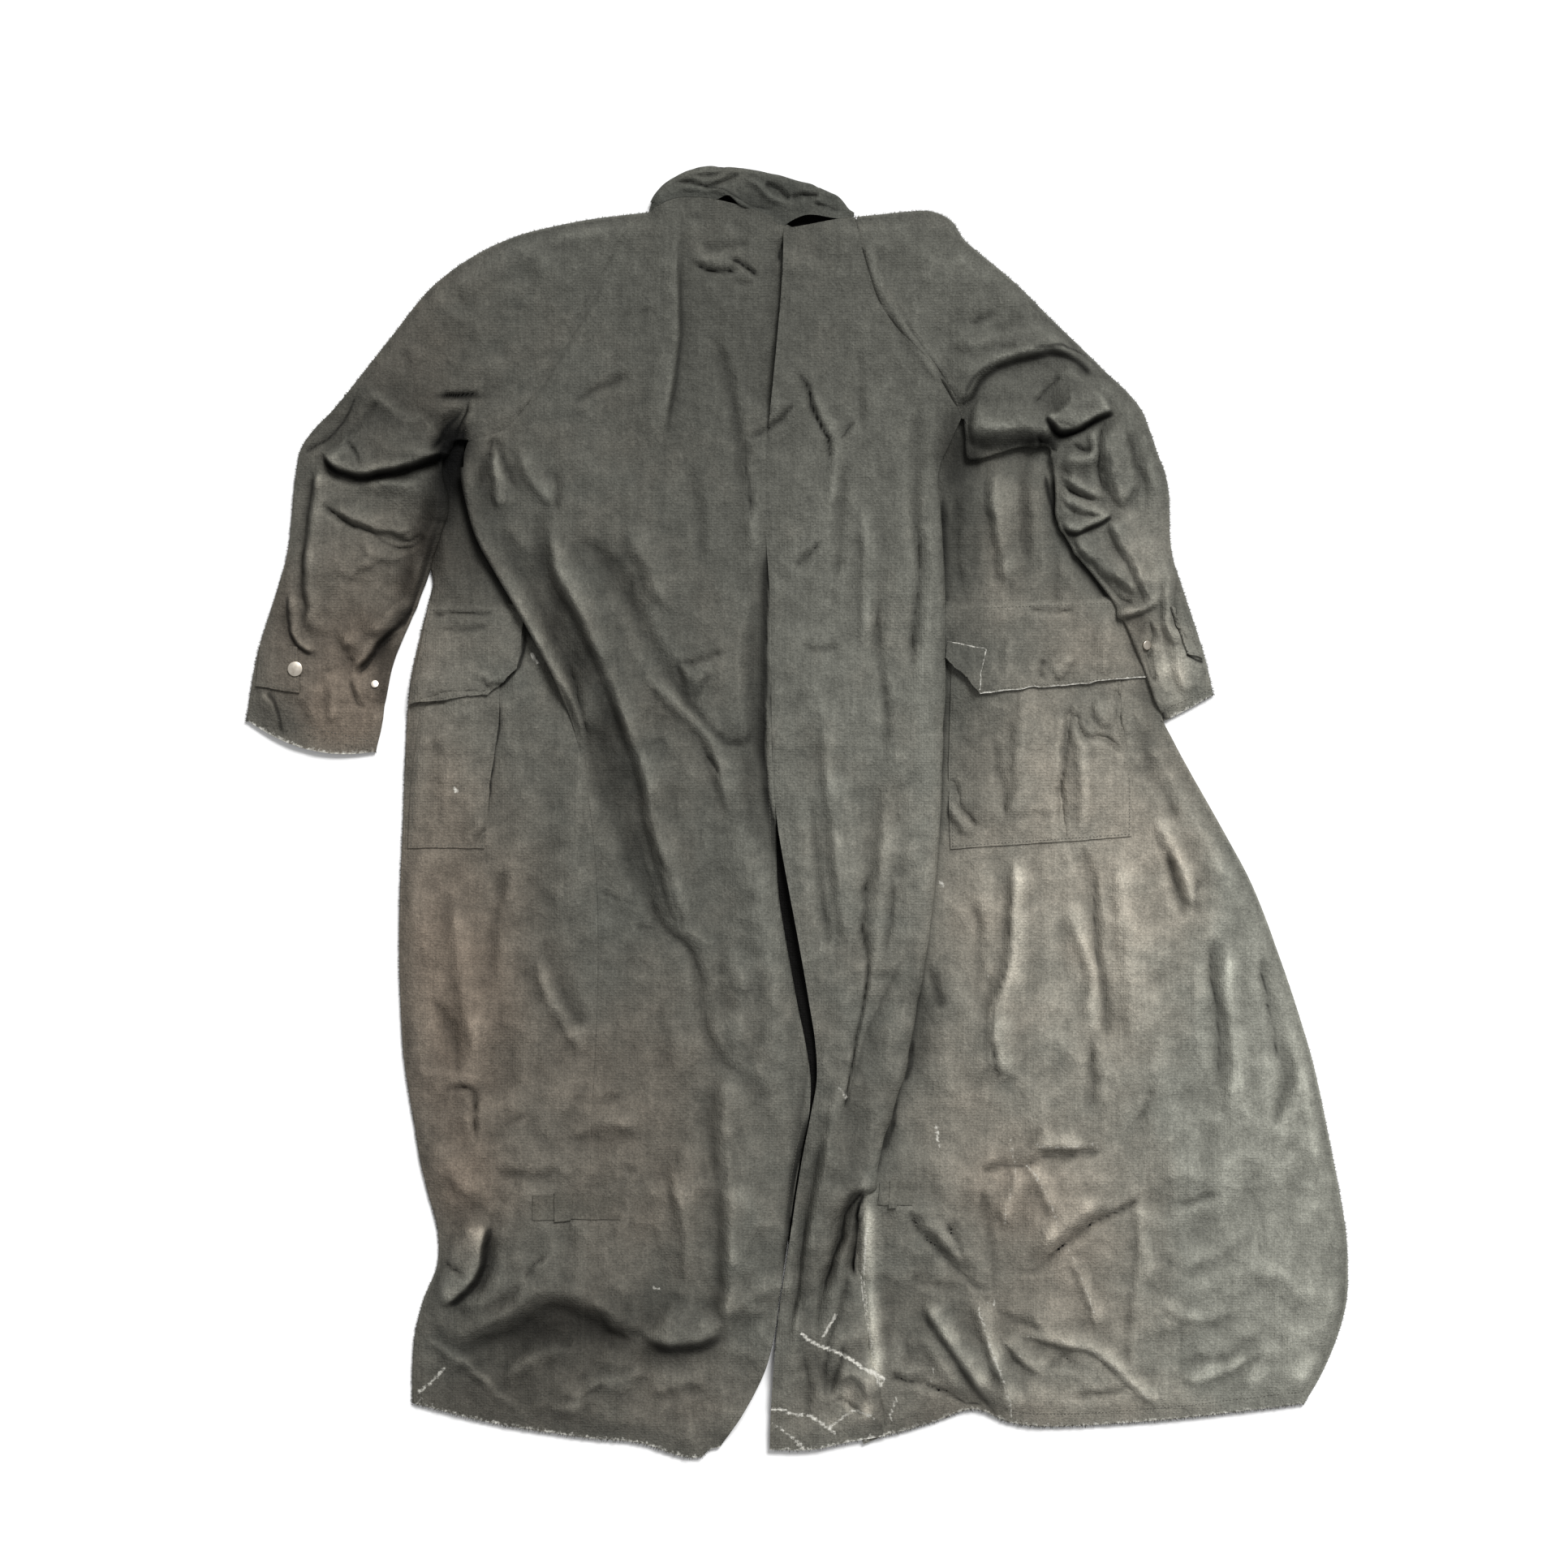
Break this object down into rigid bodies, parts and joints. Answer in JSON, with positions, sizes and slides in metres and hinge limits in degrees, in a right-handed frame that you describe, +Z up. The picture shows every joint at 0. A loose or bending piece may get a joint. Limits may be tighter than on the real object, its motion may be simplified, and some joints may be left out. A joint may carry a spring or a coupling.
{
  "type": "long riding coat, laid flat with its back up",
  "caption": "Full-length waxed-cotton riding coat with raglan sleeves, stand collar, flapped pockets and a riding vent, lying flat with its back up.",
  "frame": {"origin": "on the floor, below the middle of the coat's outline as seen from above", "axes": "+Z up from the floor, +Y towards the collar, +X to the coat's right sleeve"},
  "size_m": [1.1527, 1.3519, 0.0298],
  "materials": {
    "waxed_cotton": "worn waxed cotton, matt with a faint sheen",
    "collar_cloth": "matt",
    "tape": "matt",
    "snap_metal": "dull brushed metal"
  },
  "bodies": {
    "root": {"back_left": "waxed_cotton", "back_right": "waxed_cotton", "front_left": "waxed_cotton", "front_right": "waxed_cotton", "sleeve_left": "waxed_cotton", "sleeve_right": "waxed_cotton", "collar": "collar_cloth", "pocket_left": "waxed_cotton", "pocket_right": "waxed_cotton", "flap_left": "waxed_cotton", "flap_right": "waxed_cotton", "cuff_tab_left": "waxed_cotton", "cuff_tab_right": "waxed_cotton", "leg_strap_left": "tape", "leg_strap_right": "tape", "strap_keeper_left": "tape", "strap_keeper_right": "tape", "cuff_snap_left": "snap_metal", "cuff_stud_left": "snap_metal", "cuff_stud_right": "snap_metal"}
  },
  "joints": []
}
